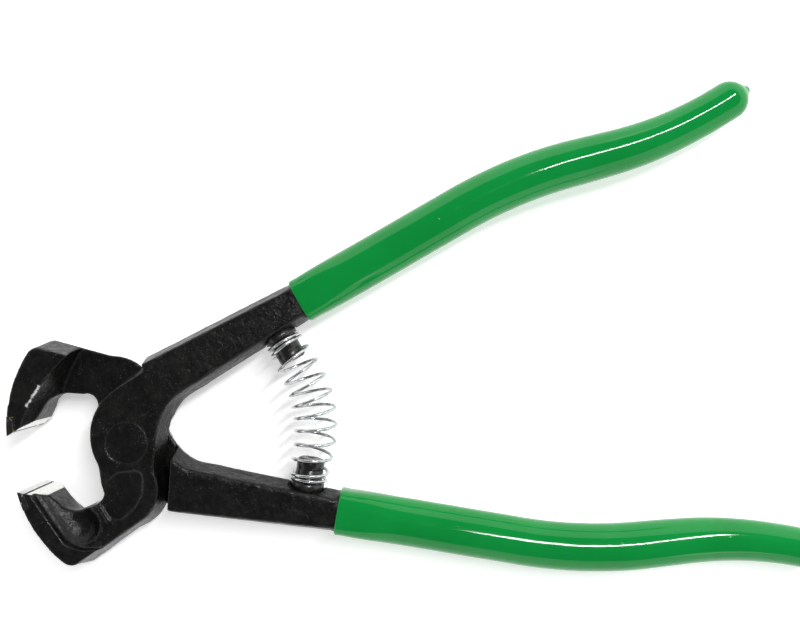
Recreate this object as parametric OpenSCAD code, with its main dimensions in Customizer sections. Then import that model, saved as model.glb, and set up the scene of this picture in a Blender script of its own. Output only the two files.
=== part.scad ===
// Carbide-tipped tile nipper: two forged levers crossing at a rivet, brazed
// carbide cutting edges, a return spring on two pegs and dipped handle grips.
// Frame: origin on the pivot axis at the lap plane between the levers,
// +X towards the handles, +Y towards the upper handle, +Z along the pivot axis.
// The tool is drawn at rest: fully open, pushed apart by its spring.

/* [Overall] */
// Angle one lever turns about the other from open to closed, in degrees
open_angle = 28; // [20:1:30]
// Pivot axis to the cutting edges
jaw_reach = 28.2; // [25:0.2:34]
// Pivot axis to the handle end, along the closed tool
handle_reach = 175.5; // [150:0.5:220]

/* [Jaws] */
// Width of the jaws along the pivot axis
jaw_width = 17; // [14.5:0.5:20]
// Closed tool's centre line to the outer side of a jaw
jaw_depth = 23.5; // [21.5:0.5:27]
// Closed tool's centre line to the floor of the throat
throat_depth = 10.4; // [8:0.2:12]
// Thickness of a jaw's end wall at its rims
jaw_wall = 3.3; // [2.6:0.1:4.5]
// Radius of the arc that the end faces of the jaws follow
end_face_radius = 33; // [30:1:45]
// Angle of the ground bevel behind each cutting edge, in degrees
bevel_angle = 35; // [20:1:45]
// Radius of the ball-nosed scoop between the neck and the end wall
scoop_radius = 5; // [4:0.1:5.6]

/* [Cutting edges] */
// Height of a carbide insert
carbide_height = 4.6; // [3:0.2:8]
// Thickness of a carbide insert
carbide_thickness = 1.6; // [1.2:0.1:2.2]
// Thickness of the brazed joint under and behind a carbide insert
braze_thickness = 0.15; // [0.1:0.05:0.3]

/* [Lap joint] */
// Thickness of each lever where the two lie on each other
lap_thickness = 6.4; // [5:0.2:8]
// Gap between the two lap faces
lap_gap = 0.1; // [0.05:0.05:0.3]
// Sideways run of the forging draft over one lap thickness
draft_run = 1.7; // [0.8:0.1:2.2]
// Distance from the pivot axis to the shoulder where a lever gets its full thickness
shoulder_x = 11; // [10.8:0.1:13]
// Radius of the rounded neck below the boss
neck_radius = 10.8; // [10:0.1:11.5]
// Depth of the shallow forged panel on the neck
panel_depth = 0.4; // [0.2:0.1:0.8]

/* [Rivet] */
// Diameter of the rivet shank
rivet_diameter = 7; // [5:0.5:8]
// Diameter of the flush countersunk heads
rivet_head_diameter = 10.4; // [9.5:0.1:11]
// Depth of each countersunk head
rivet_head_depth = 1.8; // [1.2:0.1:2.4]
// Radial running clearance of the rivet in the lever that turns on it
rivet_clearance = 0.05; // [0.02:0.01:0.1]

/* [Arms] */
// Width of an arm at its shoulder
arm_root_width = 14; // [12:0.2:16]
// Width of an arm where its grip starts
arm_end_width = 10.4; // [9:0.1:11.2]
// Thickness of an arm where its grip starts
arm_end_thickness = 10; // [9:0.1:11]
// Pivot axis to the start of a grip, along the closed tool
grip_start_x = 52; // [50:0.5:60]
// Closed tool's centre line to the middle of a handle at the start of its grip
grip_start_y = 14.3; // [13.5:0.1:17]

/* [Handles and grips] */
// Diameter of a grip along its straight part
grip_diameter = 11.7; // [11:0.1:13.5]
// Diameter of a grip at its narrow end
grip_end_diameter = 9.6; // [8.5:0.1:10.6]
// Thickness of the dipped coating
grip_wall = 0.9; // [0.6:0.1:1.2]
// Thickness of the coating over the handle end
grip_end_wall = 2.4; // [1.5:0.1:4]
// Length of the drip nib on a grip's end
nib_length = 1.2; // [0.6:0.1:2.4]
// Heading of the straight part away from the closed tool's centre line, in degrees
handle_heading = 5.6; // [4:0.2:7]
// Turn of the palm swell, in degrees
swell_turn = 15.1; // [10:0.1:20]
// Radius of the palm swell
swell_radius = 114; // [90:1:140]
// Turn of the hook before the handle end, in degrees
hook_turn = 16.5; // [12:0.1:20]
// Radius of the hook before the handle end
hook_radius = 97; // [80:1:120]
// Straight length between swell and hook
waist_length = 10; // [4:0.5:16]
// Straight length after the hook
tail_length = 10; // [6:0.5:16]

/* [Spring and pegs] */
// Pivot axis to a spring peg, along its lever
peg_x = 44; // [40:0.5:47]
// Diameter of a spring peg
peg_diameter = 6.8; // [5:0.1:7]
// Radial width of the collar at a peg's foot
peg_collar_width = 0.8; // [0.5:0.1:1.2]
// Height of the collar above its arm
peg_collar_height = 0.4; // [0.2:0.1:0.8]
// Depth of the spot-faced seat that takes the collar
peg_seat_depth = 1.7; // [1.5:0.1:2.2]
// Length of a spring peg outside its arm
peg_length = 6.4; // [4:0.1:6.6]
// Diameter of the shank that holds a peg in its arm
peg_shank_diameter = 4; // [3:0.1:4.5]
// Depth of the hole for a peg's shank
peg_shank_depth = 4; // [3:0.1:5]
// Diameter of the spring wire
wire_diameter = 0.8; // [0.6:0.05:1]
// Clearance between a peg and the coils around it
peg_coil_clearance = 0.5; // [0.4:0.05:0.8]
// Extra radius of the coils in the middle of the spring
spring_barrel = 0.85; // [0:0.05:1.2]
// Bow of the spring's axis away from the pivot
spring_bow = 4.7; // [3.5:0.1:5.5]
// Number of turns in the spring
spring_turns = 11.5; // [9:0.5:13]
// Closed turns at each end of the spring
dead_turns = 1.2; // [1:0.1:1.5]
// Gap between the spring's ends and the arms
spring_seat_gap = 0.15; // [0.1:0.05:0.3]

/* [Hidden] */

PAINT_BLACK = [0.06, 0.065, 0.06];
GRIP_GREEN = [0.07, 0.55, 0.22];
ZINC = [0.8, 0.82, 0.85];
CARBIDE_GREY = [0.3, 0.31, 0.33];
BRASS = [0.72, 0.52, 0.2];

EPS = 0.01;
half_open = open_angle / 2;
lap_low = lap_gap / 2;
lap_top = lap_low + lap_thickness;
jaw_half = jaw_width / 2;
far_out = 60;

// ---- outlines in the plane of the tool: one lever, closed, jaw below, handle above

function arc_points(c, r, a0, a1, n) =
    [for (i = [0:n]) let (a = a0 + (a1 - a0) * i / max(n, 1)) c + r * [cos(a), sin(a)]];

// The end face follows an arc through the cutting edge, and a corner round joins
// it to the outer side of the jaw.
end_lean = 9;
tip_angle = 180 - end_lean;
end_centre = [-jaw_reach, 0] - end_face_radius * [cos(tip_angle), sin(tip_angle)];
corner_radius = 3.2;
corner_end = 264;
function corner_y(d) = -jaw_depth + corner_radius + d;
function corner_x(d) = end_centre[0]
    - sqrt(pow(end_face_radius - corner_radius, 2) - pow(corner_y(d) - end_centre[1], 2));
function corner_angle(d) = 360 + atan2(corner_y(d) - end_centre[1], corner_x(d) - end_centre[0]);
block_end_x = -6;
block_tuck = 3;

// The arm falls from the shoulder to the grip in width and thickness.
arm_root_y = 10.5;
plate_end_x = 26;
function arm_share(x) = (x - shoulder_x) / (grip_start_x - shoulder_x);
function arm_mid(x) = arm_root_y + (grip_start_y - arm_root_y) * arm_share(x);
function arm_half_width(x) = (arm_root_width + (arm_end_width - arm_root_width) * arm_share(x)) / 2;
function arm_half_thickness(x) = lap_top + (arm_end_thickness / 2 - lap_top) * arm_share(x);
function arm_inner(x) = arm_mid(x) - arm_half_width(x);
function arm_outer(x) = arm_mid(x) + arm_half_width(x);
arm_slope = atan2(grip_start_y - arm_root_y, grip_start_x - shoulder_x);
face_fall = atan2(lap_top - arm_end_thickness / 2, grip_start_x - shoulder_x);

root_centre = [5, -0.3];
root_radius = 15.2;
boss_start = 143;
boss_end = 187;
back_start = 99;
back_end = 136.7;
neck_rise = 2.9;
neck_centre = [-6, neck_radius + neck_rise - jaw_depth];
neck_start = -84;
neck_end = 4;
crotch_radius = 13.4;
crotch_start = 150;
crotch_end = 86;
crotch_x = 20.5;
crotch_centre = [crotch_x, arm_inner(crotch_x) - crotch_radius];
throat_fillet = 3;
end_tuck = 0.2;
throat_corner = [root_centre[0] - root_radius + 2 * end_tuck, -throat_depth - end_tuck];
plate_inset = 8.2;
plate_start_x = -jaw_reach + plate_inset;
outer_tuck = 0.5;
ledge = 0.08;

function at_height(z, outline) = [for (p = outline) [p[0], p[1], z]];

// Outlines at height z, drawn in by d for the draft. Every point of an outline is
// seen from its first one. The boss runs into the arm, and the neck into the jaw.
function boss_ring(z, d) = at_height(z, concat(
    arc_points(root_centre, root_radius - d, boss_start, boss_end, 7),
    arc_points(neck_centre, neck_radius - d, neck_end, neck_end, 0),
    arc_points(crotch_centre, crotch_radius + d, crotch_start, crotch_end, 12),
    [[plate_end_x, arm_inner(plate_end_x) + end_tuck + d]],
    [[plate_end_x, arm_outer(plate_end_x) - end_tuck - d]],
    arc_points(root_centre, root_radius - d, back_start, back_end, 6)));

// The throat is machined, so its edge isn't drafted.
function neck_ring(z, d) = at_height(z, concat(
    arc_points(neck_centre, neck_radius - d, neck_start, neck_end, 12),
    arc_points(root_centre, root_radius - d, boss_end, boss_end, 0),
    arc_points(throat_corner + throat_fillet * [-1, 1], throat_fillet, 0, -90, 6),
    [[plate_start_x, throat_corner[1]], [plate_start_x, -jaw_depth + draft_run + outer_tuck]]));

function unit(v) = v / norm(v);

// Closed skin over a list of rings, whose points turn anticlockwise about the way they run.
module sweep(rings) {
    sides = len(rings[0]);
    last = len(rings) - 1;
    points = [for (r = rings) for (p = r) p];
    walls = [for (i = [0:last - 1]) for (j = [0:sides - 1]) let (k = (j + 1) % sides)
        [i * sides + j, (i + 1) * sides + j, (i + 1) * sides + k, i * sides + k]];
    polyhedron(points, concat(walls, [[for (j = [0:sides - 1]) j]],
        [[for (j = [0:sides - 1]) last * sides + (sides - j) % sides]]), convexity = 6);
}

// Everything above the near face, which falls from the shoulder towards the grip.
module above_face() {
    translate([shoulder_x, -far_out, lap_top]) rotate([0, face_fall, 0])
        cube([2 * far_out, 2 * far_out, far_out]);
}

// Boss and neck, widest at the lap plane and drafted to both faces. Short of the
// shoulder only the half above the lap plane is left.
module lap_plate() {
    difference() {
        union() {
            sweep([boss_ring(-lap_top, draft_run), boss_ring(0, 0), boss_ring(lap_top, draft_run)]);
            sweep([neck_ring(-lap_top, draft_run), neck_ring(0, 0), neck_ring(lap_top, draft_run)]);
        }
        above_face();
        mirror([0, 0, 1]) above_face();
        translate([shoulder_x - far_out, -far_out, lap_low - far_out])
            cube([far_out, 2 * far_out, far_out]);
    }
}

// Six-sided section of the arm: widest at the lap plane, drafted to both faces.
function arm_ring(x) = let (w = arm_half_width(x), m = arm_mid(x), t = arm_half_thickness(x), d = draft_run)
    [[x, m - w, 0], [x, m - w + d, -t], [x, m + w - d, -t],
     [x, m + w, 0], [x, m + w - d, t], [x, m - w + d, t]];

module arm() {
    sweep([arm_ring(shoulder_x), arm_ring(grip_start_x)]);
}

// ---- handle path: straight, palm swell, waist, hook and tail

function toward(a) = [cos(a), sin(a)];
function bend(r, a, turn) = sign(turn) * r * [sin(a + turn) - sin(a), cos(a) - cos(a + turn)];
swell_length = swell_radius * swell_turn * PI / 180;
hook_length = hook_radius * hook_turn * PI / 180;
waist_heading = handle_heading - swell_turn;
tail_heading = waist_heading + hook_turn;
bends_run = bend(swell_radius, handle_heading, -swell_turn)[0] + waist_length * cos(waist_heading)
    + bend(hook_radius, waist_heading, hook_turn)[0] + tail_length * cos(tail_heading);
palm_length = (handle_reach - grip_start_x - bends_run) / cos(handle_heading);
swell_s = palm_length;
waist_s = swell_s + swell_length;
hook_s = waist_s + waist_length;
tail_s = hook_s + hook_length;
end_s = tail_s + tail_length;
swell_start = [grip_start_x, grip_start_y] + palm_length * toward(handle_heading);
waist_start = swell_start + bend(swell_radius, handle_heading, -swell_turn);
hook_start = waist_start + waist_length * toward(waist_heading);
tail_start = hook_start + bend(hook_radius, waist_heading, hook_turn);

function swell_part(s) = -swell_turn * (s - swell_s) / swell_length;
function hook_part(s) = hook_turn * (s - hook_s) / hook_length;
function path_heading(s) =
    s < swell_s ? handle_heading :
    s < waist_s ? handle_heading + swell_part(s) :
    s < hook_s ? waist_heading :
    s < tail_s ? waist_heading + hook_part(s) : tail_heading;
function path_point(s) =
    s < swell_s ? swell_start + (s - swell_s) * toward(handle_heading) :
    s < waist_s ? swell_start + bend(swell_radius, handle_heading, swell_part(s)) :
    s < hook_s ? waist_start + (s - waist_s) * toward(waist_heading) :
    s < tail_s ? hook_start + bend(hook_radius, waist_heading, hook_part(s)) :
    tail_start + (s - tail_s) * toward(tail_heading);

function smooth(t) = t <= 0 ? 0 : t >= 1 ? 1 : t * t * (3 - 2 * t);
function dome(run, r) = run >= r ? 1 : sqrt(max(0, 1 - pow(1 - run / r, 2)));

// Section radii along the handle.
taper_lead = 6;
taper_tail = 4;
taper_s = waist_s - taper_lead;
dome_s = end_s - nib_length;
end_radius = grip_end_diameter / 2;
nib_radius = 0.9;
nib_root = 0.15;
nib_taper = 0.5;
lip_round = 0.75;
core_end_s = dome_s - grip_end_wall;
lip_length = 2;
function grip_radius(s) = grip_diameter / 2
    + (grip_end_diameter - grip_diameter) / 2 * smooth((s - taper_s) / (tail_s + taper_tail - taper_s));
function grip_surface(s) = s < lip_length
    ? grip_radius(s) - grip_wall * lip_round * pow(1 - s / lip_length, 2)
    : grip_radius(s) * dome(dome_s - s, end_radius);
function core_surface(s) = (grip_radius(s) - grip_wall) * dome(core_end_s - s, end_radius - grip_wall);

// The section is a rounded square where the handle leaves the arm and then turns round.
square_run = 16;
extra_square = 1.1;
function squareness(s) = 2 + extra_square * (1 - smooth(s / square_run));
function signed_pow(v, e) = sign(v) * pow(abs(v), e);
function section_point(a, r, e) = r * [signed_pow(cos(a), 2 / e), signed_pow(sin(a), 2 / e)];
function ring(s, r, sides) = let (c = path_point(s), h = path_heading(s), e = squareness(s))
    [for (i = [0:sides - 1]) let (q = section_point(360 * i / sides, r, e))
        [c[0] - q[0] * sin(h), c[1] + q[0] * cos(h), q[1]]];

handle_sides = 20;
function spread(from, to, n) = [for (i = [0:n]) from + (to - from) * i / n];
core_stops = concat(spread(0, core_end_s - 4, 34), spread(core_end_s - 3, core_end_s - 0.3, 3));
grip_stops = concat([0, 0.4, 0.9, 1.5], spread(lip_length, dome_s - end_radius, 34),
    [for (a = [15:15:75]) dome_s - end_radius * (1 - sin(a))]);

// Steel inside the grip; start is how far its first ring reaches back into the arm.
module handle_core(start) {
    sweep(concat([ring(-start, core_surface(0), handle_sides)],
        [for (s = core_stops) ring(s, core_surface(s), handle_sides)]));
}

module grip_skin() {
    sweep(concat([for (s = grip_stops) ring(s, grip_surface(s), handle_sides)],
        [ring(dome_s - nib_root, nib_radius, handle_sides), ring(end_s, nib_radius * nib_taper, handle_sides)]));
}

// ---- jaw

// Outline of the jaw block at height z, with its outer side drawn in by d for the draft.
function block_ring(z, d) = at_height(z, concat(
    arc_points(end_centre, end_face_radius, tip_angle, corner_angle(d), 10),
    arc_points([corner_x(d), corner_y(d)], corner_radius, corner_angle(d), corner_end, 5),
    [[block_end_x, corner_y(d)], [block_end_x, -throat_depth - block_tuck]]));

module jaw_block() {
    sweep([block_ring(-jaw_half, draft_run), block_ring(0, 0), block_ring(jaw_half, draft_run)]);
}

// The throat goes right through and leaves the end wall standing on a curved foot.
wall_foot = 3;
foot_radius = 4.6;
foot_start = 190;
inner_x = -jaw_reach + jaw_wall;
module throat() {
    foot_x = inner_x + wall_foot;
    translate([0, 0, -far_out]) linear_extrude(2 * far_out)
        polygon(concat(
            [[far_out, far_out], [inner_x + end_tuck, far_out], [inner_x + end_tuck, 0]],
            arc_points([foot_x + foot_radius, -throat_depth + foot_radius], foot_radius, foot_start, 270, 7),
            [[throat_corner[0], -throat_depth], [far_out, -throat_depth]]));
}

// The side that faces the other lever slopes down from its rim to the lap plane.
far_rim_radius = 37;
far_rim_inset = 1.5;
far_rim_centre = [inner_x + far_rim_radius - far_rim_inset, 6.6];
far_slope_run = [6.9, -10.3];
module far_pocket() {
    hull() {
        translate([far_rim_centre[0], far_rim_centre[1], -jaw_half - EPS])
            cylinder(h = EPS, r = far_rim_radius, $fn = 120);
        translate([far_rim_centre[0] + far_slope_run[0], far_rim_centre[1] + far_slope_run[1], lap_low - EPS])
            cylinder(h = EPS, r = far_rim_radius, $fn = 120);
    }
}

// The near side keeps its rim, and the rest is cut down to just under the neck's face.
near_rim_radius = 8;
near_rim_height = 3.1;
near_rim_foot = 9.5;
near_rim_centre = [inner_x + near_rim_foot, -jaw_depth + near_rim_radius + near_rim_height];
near_rim_tip = [inner_x - 1, 0];
near_rim_exit = 2.5;
module near_pocket() {
    translate([0, 0, lap_top - ledge]) linear_extrude(jaw_half)
        hull() {
            translate(near_rim_centre) circle(r = near_rim_radius, $fn = 64);
            polygon([near_rim_tip, [0, -jaw_depth - near_rim_exit], [0, 0]]);
        }
}

// Ball-nosed trough inside the near rim, narrower towards the tip.
scoop_run = 13;
scoop_lean = 16;
scoop_lift = 2.2;
scoop_start = near_rim_centre + [-2.8, -1.6];
scoop_tip_share = 0.75;
module near_scoop() {
    translate([scoop_start[0], scoop_start[1], lap_top + scoop_lift])
        rotate([-90, 0, scoop_lean])
            rotate_extrude($fn = 64)
                polygon(concat(arc_points([0, 0], scoop_radius, -90, 0, 12),
                    [[scoop_tip_share * scoop_radius, scoop_run], [0, scoop_run]]));
}

// Everything on the far side of the ground bevel.
module bevel_cut() {
    translate([-jaw_reach, 0, -far_out]) rotate([0, 0, -bevel_angle])
        translate([-far_out, 0, 0]) cube([2 * far_out, far_out, 2 * far_out]);
}

// Seat of the carbide insert in the outer side of the tip, grown by the braze layer.
overshoot_angle = 12;
module insert_outline(grow, outside) {
    r_in = end_face_radius - carbide_thickness - grow;
    r_out = end_face_radius + outside;
    a_start = tip_angle - overshoot_angle * outside;
    a_end = tip_angle + (carbide_height + grow) / end_face_radius * 180 / PI;
    polygon(concat(arc_points(end_centre, r_out, a_start, a_end, 8),
        arc_points(end_centre, r_in, a_end, a_start, 8)));
}

module insert_prism(grow, outside) {
    height = jaw_width + 2 * outside;
    translate([0, 0, -height / 2]) linear_extrude(height) insert_outline(grow, outside);
}

module jaw() {
    difference() {
        jaw_block();
        throat();
        far_pocket();
        near_pocket();
        bevel_cut();
    }
}

// ---- one lever, closed

core_tuck = 0.5;
grip_overlap = 4;
rivet_r = rivet_diameter / 2;
head_r = rivet_head_diameter / 2;

// Shank and countersunk head of the rivet from the lap plane out, grown by a clearance.
module rivet_half(grow, overshoot) {
    rotate_extrude($fn = 64)
        polygon([[0, -overshoot], [rivet_r + grow, -overshoot], [rivet_r + grow, lap_top - rivet_head_depth],
                 [head_r + grow, lap_top], [head_r + grow, lap_top + overshoot], [0, lap_top + overshoot]]);
}

// Sunk panel on the neck below the rivet, with rounded corners.
panel_corners = [[-7.2, -8.3], [-5, -7.8], [-1.7, -8.8], [-3.2, -11.8],
                 [-5.9, -13.7], [-8.8, -14.4], [-9.8, -13.8], [-9.8, -12]];
panel_round = 2.1;
module neck_panel() {
    translate([0, 0, lap_top - panel_depth]) linear_extrude(2 * panel_depth) hull()
        for (p = panel_corners) translate(p) circle(r = panel_round, $fn = 32);
}

// Frame of a peg: origin where its axis leaves the arm, +Z away from the arm.
module at_peg() {
    translate([peg_x, arm_inner(peg_x), 0]) rotate([90, 0, arm_slope]) children();
}

module peg_solid() {
    translate([0, 0, -peg_seat_depth])
        cylinder(h = peg_seat_depth + peg_collar_height, r = peg_diameter / 2 + peg_collar_width, $fn = 48);
    cylinder(h = peg_length, r = peg_diameter / 2, $fn = 48);
    translate([0, 0, -peg_seat_depth - peg_shank_depth])
        cylinder(h = peg_shank_depth + EPS, r = peg_shank_diameter / 2, $fn = 48);
}

module lever(pivot_clearance) {
    difference() {
        union() {
            lap_plate();
            jaw();
            arm();
            handle_core(core_tuck);
        }
        near_scoop();
        insert_prism(braze_thickness, 1);
        rivet_half(pivot_clearance, 5);
        neck_panel();
        at_peg() {
            translate([0, 0, -peg_seat_depth])
                cylinder(h = peg_seat_depth + 1, r = peg_diameter / 2 + peg_collar_width, $fn = 48);
            translate([0, 0, -peg_seat_depth - peg_shank_depth])
                cylinder(h = peg_shank_depth + 1, r = peg_shank_diameter / 2, $fn = 48);
        }
    }
}

module carbide_insert() {
    difference() {
        insert_prism(0, 0);
        bevel_cut();
    }
}

module braze_layer() {
    difference() {
        insert_prism(braze_thickness, 0);
        insert_prism(0, 1);
        bevel_cut();
    }
}

module grip() {
    difference() {
        grip_skin();
        handle_core(grip_overlap);
    }
}

// The two levers are the same forging; the rear one is turned over about the X axis.
module front_side() {
    rotate([0, 0, half_open]) children();
}

module rear_side() {
    rotate([180, 0, 0]) front_side() children();
}

// ---- return spring on an axis that bows away from the pivot between the two pegs

peg_tilt = half_open + arm_slope;
peg_foot = [peg_x * cos(half_open) - arm_inner(peg_x) * sin(half_open),
            peg_x * sin(half_open) + arm_inner(peg_x) * cos(half_open)];
seat_height = peg_collar_height + spring_seat_gap + wire_diameter / 2;
spring_end = peg_foot + seat_height * [sin(peg_tilt), -cos(peg_tilt)];
bow_shape = tan(peg_tilt) * spring_end[1] / (2 * spring_bow) - 1;
coil_radius = peg_diameter / 2 + peg_coil_clearance + wire_diameter / 2;
dead_pitch = 1.15 * wire_diameter;
dead_rise = dead_pitch / spring_end[1];
spring_phase = 259;

// Height along the spring, from -1 at the lower end to 1 at the upper, after u turns.
function spring_height(u) =
    u < dead_turns ? dead_rise * u - 1 :
    u > spring_turns - dead_turns ? 1 - dead_rise * (spring_turns - u) :
    let (low = dead_rise * dead_turns - 1) low * (spring_turns - 2 * u) / (spring_turns - 2 * dead_turns);
function spring_mid(w) =
    [spring_end[0] + spring_bow * (1 - w * w) * (1 + bow_shape * w * w), spring_end[1] * w];
function spring_tilt(w) = atan2(2 * spring_bow * w * (bow_shape * (1 - 2 * w * w) - 1), spring_end[1]);
function spring_point(u) = let (w = spring_height(u), c = spring_mid(w), a = spring_tilt(w),
    r = coil_radius + spring_barrel * (1 - w * w), f = 360 * u + spring_phase)
    [c[0] + r * sin(f) * cos(a), c[1] - r * sin(f) * sin(a), r * cos(f)];

wire_sides = 8;
steps_per_turn = 15;
function wire_ring(u) = let (p = spring_point(u), w = spring_height(u), m = spring_mid(w),
    along = unit(spring_point(u + 0.01) - spring_point(u - 0.01)),
    out = unit(p - [m[0], m[1], 0]), up = unit(cross(along, out)), side = cross(up, along))
    [for (i = [0:wire_sides - 1]) let (a = 360 * i / wire_sides)
        p + wire_diameter / 2 * (side * cos(a) + up * sin(a))];

module return_spring() {
    color(ZINC) sweep([for (i = [0:spring_turns * steps_per_turn]) wire_ring(i / steps_per_turn)]);
}

// ---- sub-parts

module front_lever() { color(PAINT_BLACK) front_side() lever(rivet_clearance); }
module rear_lever() { color(PAINT_BLACK) rear_side() lever(0); }
module pivot_rivet() {
    color(PAINT_BLACK) {
        rivet_half(0, EPS);
        rotate([180, 0, 0]) rivet_half(0, EPS);
    }
}
module front_carbide() { color(CARBIDE_GREY) front_side() carbide_insert(); }
module rear_carbide() { color(CARBIDE_GREY) rear_side() carbide_insert(); }
module front_braze() { color(BRASS) front_side() braze_layer(); }
module rear_braze() { color(BRASS) rear_side() braze_layer(); }
module front_peg() { color(PAINT_BLACK) front_side() at_peg() peg_solid(); }
module rear_peg() { color(PAINT_BLACK) rear_side() at_peg() peg_solid(); }
module front_grip() { color(GRIP_GREEN) front_side() grip(); }
module rear_grip() { color(GRIP_GREEN) rear_side() grip(); }

front_lever();
rear_lever();
pivot_rivet();
front_carbide();
rear_carbide();
front_braze();
rear_braze();
front_peg();
rear_peg();
return_spring();
front_grip();
rear_grip();
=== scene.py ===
"""Looks of a carbide-tipped tile nipper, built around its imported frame.

Two forged levers cross at a flush rivet. Each carries a brazed carbide insert, a spring peg
and a dipped vinyl grip, and one return spring bows between the two pegs.
Frame: metres, origin on the pivot axis at the lap plane, +X to the handles, +Y to the upper
handle, +Z along the pivot. The tool lies on its side, on the floor below its jaws.
"""

import logging
import math
from dataclasses import dataclass, field
from enum import Enum
from typing import Callable, Sequence

import bmesh
import bpy
from mathutils import Euler, Matrix, Vector, noise


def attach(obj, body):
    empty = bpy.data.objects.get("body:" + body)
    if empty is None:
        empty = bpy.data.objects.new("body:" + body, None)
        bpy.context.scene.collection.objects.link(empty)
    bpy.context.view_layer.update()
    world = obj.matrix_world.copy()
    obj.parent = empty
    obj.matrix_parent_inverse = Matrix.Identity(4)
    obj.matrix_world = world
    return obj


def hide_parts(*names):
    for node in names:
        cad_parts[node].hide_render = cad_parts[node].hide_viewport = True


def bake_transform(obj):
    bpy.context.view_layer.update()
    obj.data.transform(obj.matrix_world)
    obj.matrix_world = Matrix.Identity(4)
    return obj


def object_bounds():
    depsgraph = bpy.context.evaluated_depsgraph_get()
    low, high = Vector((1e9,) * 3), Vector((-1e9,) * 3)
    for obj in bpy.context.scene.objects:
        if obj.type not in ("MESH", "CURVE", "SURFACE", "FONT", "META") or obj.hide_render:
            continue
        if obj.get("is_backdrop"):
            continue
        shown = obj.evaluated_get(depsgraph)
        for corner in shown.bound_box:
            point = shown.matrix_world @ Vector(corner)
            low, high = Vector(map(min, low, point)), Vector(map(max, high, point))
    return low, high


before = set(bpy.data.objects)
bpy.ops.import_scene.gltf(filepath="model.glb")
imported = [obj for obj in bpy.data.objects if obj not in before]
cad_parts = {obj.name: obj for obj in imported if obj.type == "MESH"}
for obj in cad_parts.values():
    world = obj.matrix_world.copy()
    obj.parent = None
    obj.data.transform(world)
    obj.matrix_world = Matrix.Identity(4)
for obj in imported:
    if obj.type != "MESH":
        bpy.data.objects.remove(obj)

MM = 0.001
HALF_OPEN = math.radians(14.0)
JAW_REACH = 28.2
HANDLE_REACH = 175.5
BARE = "bare"
Colour = tuple[float, float, float]
Pair = tuple[float, float]
log = logging.getLogger("tile_nipper")


class Side(Enum):
    """The two levers: the front one laps over the rear one."""

    FRONT = "front"
    REAR = "rear"


@dataclass(frozen=True)
class ClosedFrame:
    """Turns between the tool at rest and one lever as it stands in the closed tool.

    In the closed frame a lever has its jaw below the centre line, its handle above it and
    its outer face at +Z, whichever lever it is.
    """

    half_open: float = HALF_OPEN

    def to_rest(self, side: Side) -> Matrix:
        """Gives the matrix from the closed frame of a lever to the tool at rest.

        Args:
            side: the lever.

        Returns:
            A 4x4 rotation.
        """
        turn = Matrix.Rotation(self.half_open, 4, "Z")
        if side is Side.REAR:
            return Matrix.Rotation(math.pi, 4, "X") @ turn
        return turn

    def to_closed(self, side: Side) -> Matrix:
        """Gives the matrix from the tool at rest to the closed frame of a lever."""
        return self.to_rest(side).inverted()


CLOSED = ClosedFrame()
BEVEL_ANGLE = math.radians(35.0)
BEVEL_FACING = Vector((math.sin(BEVEL_ANGLE), math.cos(BEVEL_ANGLE), 0.0))
TIP = Vector((-JAW_REACH, 0.0, 0.0)) * MM


# ---------------------------------------------------------------- mesh helpers


def smoothstep(t: float) -> float:
    """Rises smoothly from 0 to 1 as t does, and stays there outside."""
    t = min(1.0, max(0.0, t))
    return t * t * (3.0 - 2.0 * t)


def new_piece(name: str, bm: bmesh.types.BMesh, smooth: bool = True) -> bpy.types.Object:
    """Puts a finished bmesh into the scene as an object at the origin.

    Args:
        name: the piece's name.
        bm: the mesh, in metres in the tool's frame; it is freed.
        smooth: whether its faces are shaded smooth.

    Returns:
        The new object.
    """
    mesh = bpy.data.meshes.new(name)
    bm.to_mesh(mesh)
    bm.free()
    mesh.polygons.foreach_set("use_smooth", [smooth] * len(mesh.polygons))
    piece = bpy.data.objects.new(name, mesh)
    bpy.context.scene.collection.objects.link(piece)
    return piece


def bake_modifiers(piece: bpy.types.Object) -> None:
    """Makes a piece's modifiers part of its mesh.

    Args:
        piece: the object, whose modifiers are used up.
    """
    bpy.context.view_layer.update()
    graph = bpy.context.evaluated_depsgraph_get()
    made = bpy.data.meshes.new_from_object(piece.evaluated_get(graph))
    made.name = piece.name
    piece.modifiers.clear()
    old = piece.data
    piece.data = made
    bpy.data.meshes.remove(old)


def merged_copy(node: str) -> bmesh.types.BMesh:
    """Copies a node of the frame with its loose triangles merged.

    Args:
        node: the node's name.

    Returns:
        A bmesh in the tool's frame.
    """
    bm = bmesh.new()
    bm.from_mesh(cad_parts[node].data)
    bmesh.ops.remove_doubles(bm, verts=bm.verts, dist=0.002 * MM)
    return bm


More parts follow.
